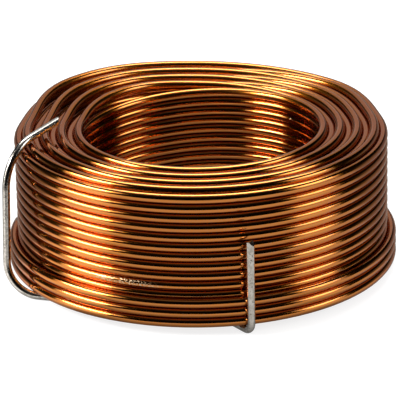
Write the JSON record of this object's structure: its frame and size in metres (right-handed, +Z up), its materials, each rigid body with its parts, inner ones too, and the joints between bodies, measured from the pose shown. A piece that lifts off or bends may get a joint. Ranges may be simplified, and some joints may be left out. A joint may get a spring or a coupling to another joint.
{
  "type": "air core inductor",
  "caption": "Round layer-wound coil of enamelled copper wire with an open bore, held by two bent wire clips.",
  "frame": {"origin": "on the coil's axis, level with the underside of its lowest turns", "axes": "+Z up along the coil's axis, +Y towards the back, where the turns step from row to row"},
  "size_m": [0.0636, 0.0665, 0.0257],
  "materials": {
    "enamelled_copper": "gloss",
    "clip_wire": "satin"
  },
  "bodies": {
    "root": {"winding": "enamelled_copper", "front_clip": "clip_wire", "side_clip": "clip_wire"}
  },
  "joints": []
}
